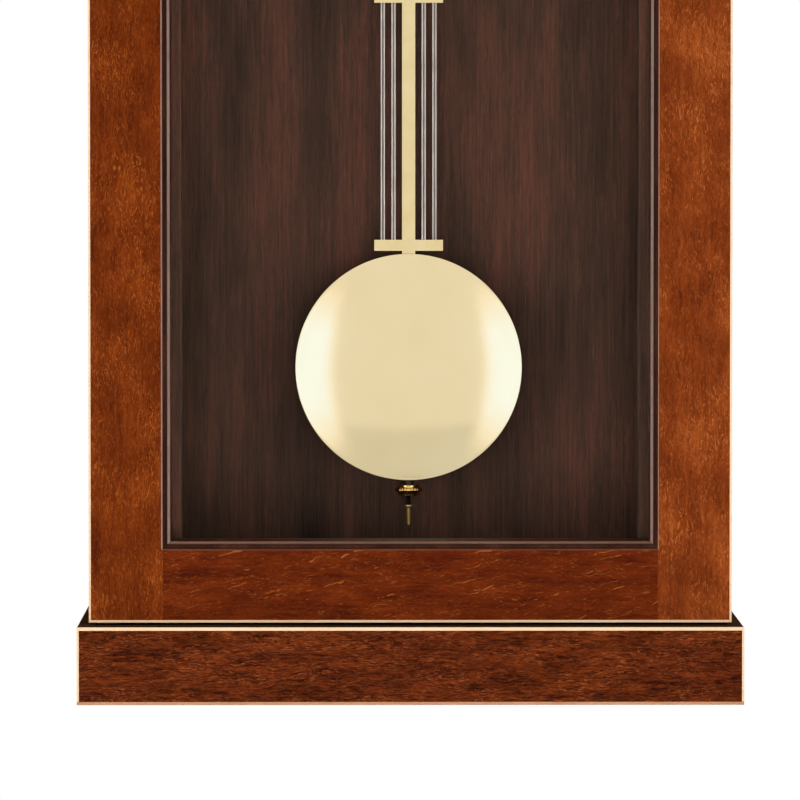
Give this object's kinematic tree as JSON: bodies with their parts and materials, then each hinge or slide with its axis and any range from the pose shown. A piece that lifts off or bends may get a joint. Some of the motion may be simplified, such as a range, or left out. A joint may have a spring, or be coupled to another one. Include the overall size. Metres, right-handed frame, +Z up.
{
  "type": "pendulum wall clock",
  "caption": "Tall wooden wall clock with a glazed door, plinth and cornice, a round dial, and a brass lyre pendulum with a domed bob that swings behind the glass.",
  "frame": {"origin": "middle of the hanger plate's keyhole, on the back of the case where it meets the wall", "axes": "+Z up, +Y into the wall, so the door faces -Y, and +X to the right as seen from the front"},
  "size_m": [0.27, 0.138, 0.628],
  "materials": {
    "stile_wood": "satin lacquer",
    "rail_wood": "satin lacquer",
    "plinth_wood": "satin lacquer",
    "inner_wood": "satin lacquer",
    "light_wood": "satin lacquer",
    "ebonised_wood": "satin lacquer",
    "glass": "clear float glass",
    "polished_brass": "polished and lacquered",
    "clock_brass": "fine matt",
    "bright_steel": "bright drawn",
    "iron": "black paint",
    "black_steel": "satin black",
    "dial_enamel": "satin cream paint"
  },
  "bodies": {
    "case": {"case_left_side": "rail_wood", "case_right_side": "rail_wood", "case_top_board": "inner_wood", "case_bottom_board": "inner_wood", "back_panel": "inner_wood", "jambs": "inner_wood", "face_frame_rails": "inner_wood", "plinth_front_board": "plinth_wood", "plinth_side_boards": "plinth_wood", "plinth_top_board": "plinth_wood", "cornice_front_board": "plinth_wood", "cornice_side_boards": "plinth_wood", "cornice_boards": "plinth_wood", "edge_lines": "light_wood", "screws": "bright_steel", "hanger_plate": "bright_steel", "pivot_bushes": "polished_brass", "catch_magnet": "black_steel", "dial_board": "inner_wood", "dial_plate": "dial_enamel", "bezel": "polished_brass", "winding_eyelet": "polished_brass", "front_plate": "clock_brass", "back_plate": "clock_brass", "plate_pillars": "clock_brass", "movement_posts": "clock_brass", "suspension_bracket": "clock_brass", "suspension_spring": "bright_steel"},
    "door": {"door_hinge_stile": "stile_wood", "door_latch_stile": "stile_wood", "door_rails": "rail_wood", "door_edge_lines": "light_wood", "glazing_beads": "ebonised_wood", "door_glass": "glass", "glass_stops": "inner_wood", "door_pivot_pins": "bright_steel", "door_knob": "polished_brass", "strike_plate": "bright_steel"},
    "pendulum": {"suspension_lower_chop": "clock_brass", "pendulum_rod": "polished_brass", "lyre_brackets": "polished_brass", "lyre_rods": "bright_steel"},
    "bob": {"bob_front_cover": "polished_brass", "bob_weight": "iron"},
    "nut": {"rating_nut": "polished_brass"},
    "anchor": {"anchor_and_crutch": "bright_steel"},
    "centre": {"centre_arbor": "clock_brass", "cannon_pinion": "clock_brass", "minute_hand": "black_steel", "hand_nut": "polished_brass"},
    "motion_wheel": {"minute_wheel": "clock_brass"},
    "hour": {"hour_wheel": "clock_brass", "hour_hand": "black_steel"},
    "third": {"third_arbor": "clock_brass"},
    "escape": {"escape_arbor": "clock_brass"},
    "intermediate": {"intermediate_arbor": "clock_brass"},
    "spring_barrel": {"barrel": "clock_brass", "mainspring": "bright_steel"},
    "winding": {"winding_arbor": "bright_steel"},
    "winding_click": {"click": "bright_steel"}
  },
  "joints": [
    {"name": "door_hinge", "type": "hinge", "parent": "case", "child": "door", "pos_m": [-0.1225, -0.114, -0.25599], "axis": [0, 0, -1], "range_deg": [0, 90]},
    {"name": "pendulum_swing", "type": "hinge", "parent": "case", "child": "pendulum", "pos_m": [0, -0.034, -0.06059], "axis": [0, 1, 0], "range_deg": [-4, 4], "deforming": ["suspension_spring"]},
    {"name": "anchor_rock", "type": "hinge", "parent": "case", "child": "anchor", "pos_m": [0, -0.054, -0.06059], "axis": [0, 1, 0], "range_deg": [-4, 4]},
    {"name": "bob_slide", "type": "slide", "parent": "pendulum", "child": "bob", "axis": [0, 0, 1], "range_m": [-0.0035, 0.001]},
    {"name": "rating_nut_turn", "type": "hinge", "parent": "bob", "child": "nut", "pos_m": [0, -0.034, -0.48459], "axis": [0, 0, 1], "range_deg": [-2521, 721]},
    {"name": "minute_hand_turn", "type": "hinge", "parent": "case", "child": "centre", "pos_m": [0, -0.06, -0.1078], "axis": [0, 1, 0], "continuous": true},
    {"name": "minute_wheel_turn", "type": "hinge", "parent": "case", "child": "motion_wheel", "pos_m": [-0.01273, -0.076, -0.09507], "axis": [0, 1, 0], "continuous": true},
    {"name": "hour_hand_turn", "type": "hinge", "parent": "case", "child": "hour", "pos_m": [0, -0.076, -0.1078], "axis": [0, 1, 0], "continuous": true},
    {"name": "third_wheel_turn", "type": "hinge", "parent": "case", "child": "third", "pos_m": [0.0131, -0.06, -0.09295], "axis": [0, 1, 0], "continuous": true},
    {"name": "escape_wheel_turn", "type": "hinge", "parent": "case", "child": "escape", "pos_m": [0, -0.06, -0.0818], "axis": [0, 1, 0], "continuous": true},
    {"name": "intermediate_wheel_turn", "type": "hinge", "parent": "case", "child": "intermediate", "pos_m": [-0.014, -0.06, -0.12425], "axis": [0, 1, 0], "continuous": true},
    {"name": "barrel_turn", "type": "hinge", "parent": "case", "child": "spring_barrel", "pos_m": [0, -0.06, -0.14942], "axis": [0, 1, 0], "continuous": true},
    {"name": "winding_turn", "type": "hinge", "parent": "case", "child": "winding", "pos_m": [0, -0.06, -0.14942], "axis": [0, 1, 0], "range_deg": [0, 1980]},
    {"name": "click_lift", "type": "hinge", "parent": "case", "child": "winding_click", "pos_m": [0.01311, -0.076, -0.14024], "axis": [0, 1, 0], "range_deg": [0, 12], "stiffness_Nm_per_rad": 0.02}
  ],
  "couplings": [
    {"joint": "anchor_rock", "follows": "pendulum_swing", "ratio": 1},
    {"joint": "rating_nut_turn", "follows": "bob_slide", "rad_per_m": 12566},
    {"joint": "minute_wheel_turn", "follows": "minute_hand_turn", "ratio": -0.33333},
    {"joint": "hour_hand_turn", "follows": "minute_hand_turn", "ratio": 0.083333},
    {"joint": "third_wheel_turn", "follows": "minute_hand_turn", "ratio": -10},
    {"joint": "escape_wheel_turn", "follows": "minute_hand_turn", "ratio": 97.5},
    {"joint": "intermediate_wheel_turn", "follows": "minute_hand_turn", "ratio": -0.2},
    {"joint": "barrel_turn", "follows": "minute_hand_turn", "ratio": 0.028571}
  ]
}
